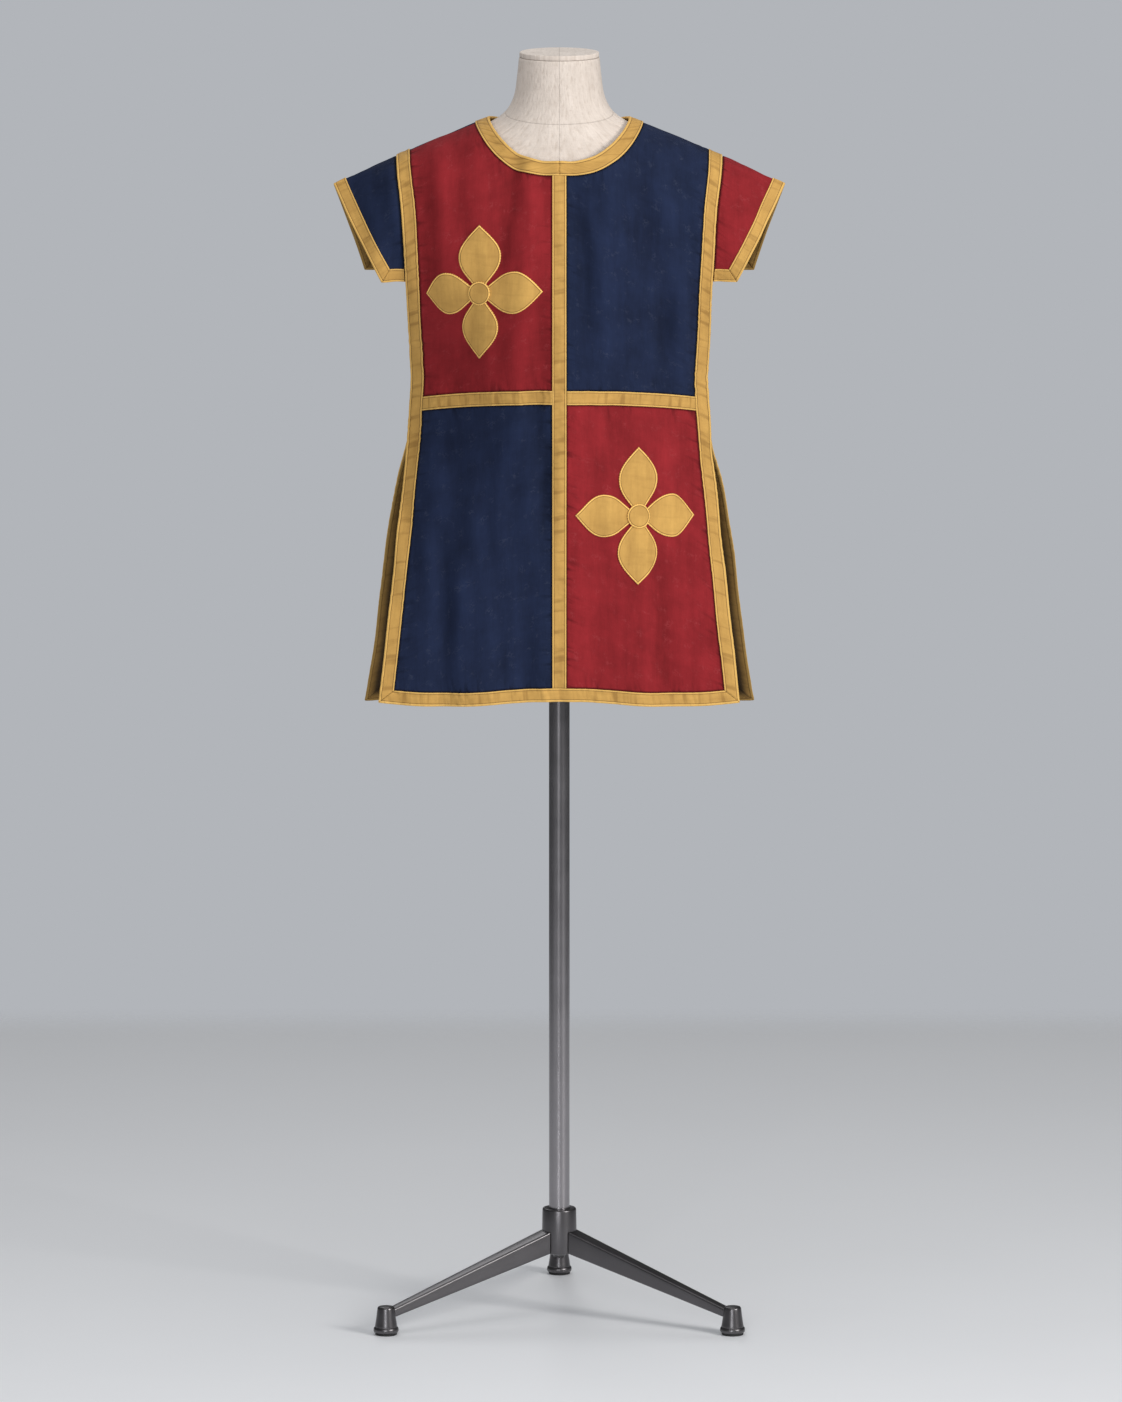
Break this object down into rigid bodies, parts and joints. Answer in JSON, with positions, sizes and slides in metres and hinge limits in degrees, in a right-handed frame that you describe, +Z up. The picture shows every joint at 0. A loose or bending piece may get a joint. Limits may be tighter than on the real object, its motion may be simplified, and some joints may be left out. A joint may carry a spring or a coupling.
{
  "type": "tabard on a dress form",
  "caption": "Quartered sleeveless tabard with shoulder wings, gold bindings and applique flowers, worn by a limbless dress form on a pole with a low splayed stand.",
  "frame": {"origin": "on the floor, in the middle of the footprint, which is 65 mm behind the pole", "axes": "+Z up, the wearer faces -Y, +X is the wearer's left"},
  "size_m": [0.5842, 0.4228, 1.6618],
  "materials": {
    "madder_cloth": "matt plain weave",
    "navy_cloth": "matt plain weave",
    "gold_tape": "soft sheen, edge stitched",
    "linen": "matt linen stretched smooth",
    "gunmetal": "satin",
    "rubber": "matt"
  },
  "bodies": {
    "root": {"front_upper_right": "madder_cloth", "front_upper_left": "navy_cloth", "front_lower_right": "navy_cloth", "front_lower_left": "madder_cloth", "back": "navy_cloth", "wing_right": "navy_cloth", "wing_left": "madder_cloth", "neck_binding": "gold_tape", "front_side_binding_right": "gold_tape", "front_side_binding_left": "gold_tape", "back_side_binding_right": "gold_tape", "back_side_binding_left": "gold_tape", "front_hem_binding": "gold_tape", "back_hem_binding": "gold_tape", "wing_edge_binding_right": "gold_tape", "wing_edge_binding_left": "gold_tape", "wing_front_hem_right": "gold_tape", "wing_front_hem_left": "gold_tape", "wing_back_hem_right": "gold_tape", "wing_back_hem_left": "gold_tape", "centre_band": "gold_tape", "cross_band_right": "gold_tape", "cross_band_left": "gold_tape", "flower_upper_petal_left": "gold_tape", "flower_upper_petal_up": "gold_tape", "flower_upper_petal_right": "gold_tape", "flower_upper_petal_down": "gold_tape", "flower_upper_eye": "gold_tape", "flower_lower_petal_left": "gold_tape", "flower_lower_petal_up": "gold_tape", "flower_lower_petal_right": "gold_tape", "flower_lower_petal_down": "gold_tape", "flower_lower_eye": "gold_tape", "form_torso": "linen", "form_neck_cap": "linen", "form_base": "linen", "pole": "gunmetal", "hub": "gunmetal", "leg_back": "gunmetal", "leg_right": "gunmetal", "leg_left": "gunmetal", "foot_back": "gunmetal", "foot_right": "gunmetal", "foot_left": "gunmetal", "foot_pad_back": "rubber", "foot_pad_right": "rubber", "foot_pad_left": "rubber"}
  },
  "joints": []
}
